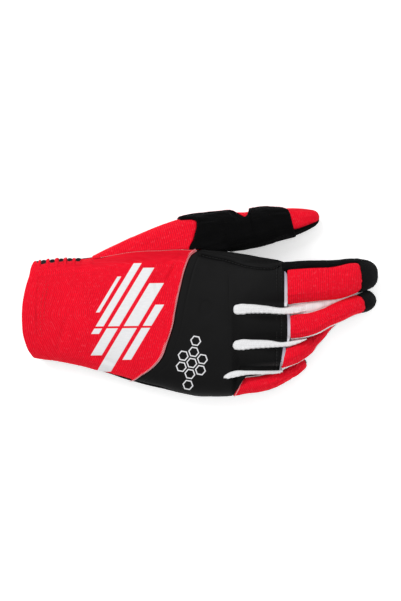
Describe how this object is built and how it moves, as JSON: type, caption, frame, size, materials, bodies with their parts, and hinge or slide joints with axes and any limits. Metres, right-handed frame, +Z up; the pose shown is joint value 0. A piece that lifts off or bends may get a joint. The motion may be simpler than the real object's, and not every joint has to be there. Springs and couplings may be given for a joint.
{
  "type": "motocross glove",
  "caption": "Right-hand motocross glove lying palm down, with a slip-on stretch cuff, gathered gussets between the fingers and curled fingers.",
  "frame": {"origin": "middle of the base, on the surface the glove lies on", "axes": "+X from the cuff to the fingertips, +Y towards the thumb, +Z up through the back of the hand"},
  "size_m": [0.2542, 0.138, 0.044],
  "materials": {
    "crimson_knit": "ribbed stretch knit",
    "charcoal_panel": "smooth padded stretch cloth",
    "black_suede": "synthetic suede",
    "white_mesh": "gathered stretch mesh",
    "grey_trim": "woven trim"
  },
  "bodies": {
    "root": {"cuff_back": "crimson_knit", "thumb_gusset": "crimson_knit", "thumb_back": "crimson_knit", "index_back": "crimson_knit", "middle_back": "crimson_knit", "ring_back": "crimson_knit", "little_back": "crimson_knit", "hand_back": "charcoal_panel", "cuff_palm": "charcoal_panel", "back_roll": "charcoal_panel", "palm": "black_suede", "thumb_palm": "black_suede", "thumb_cover": "black_suede", "index_palm": "black_suede", "index_tip": "black_suede", "middle_palm": "black_suede", "middle_tip": "black_suede", "ring_palm": "black_suede", "ring_tip": "black_suede", "little_palm": "black_suede", "little_tip": "black_suede", "gusset_index_middle": "white_mesh", "gusset_middle_ring": "white_mesh", "gusset_ring_little": "white_mesh", "ring_side_gusset": "white_mesh", "index_fourchette_little_side": "white_mesh", "middle_fourchette_thumb_side": "white_mesh", "middle_fourchette_little_side": "white_mesh", "ring_fourchette_thumb_side": "white_mesh", "ring_fourchette_little_side": "white_mesh", "little_fourchette_thumb_side": "white_mesh", "index_knuckle_trim": "grey_trim", "middle_knuckle_trim": "grey_trim", "ring_knuckle_trim": "grey_trim"}
  },
  "joints": []
}
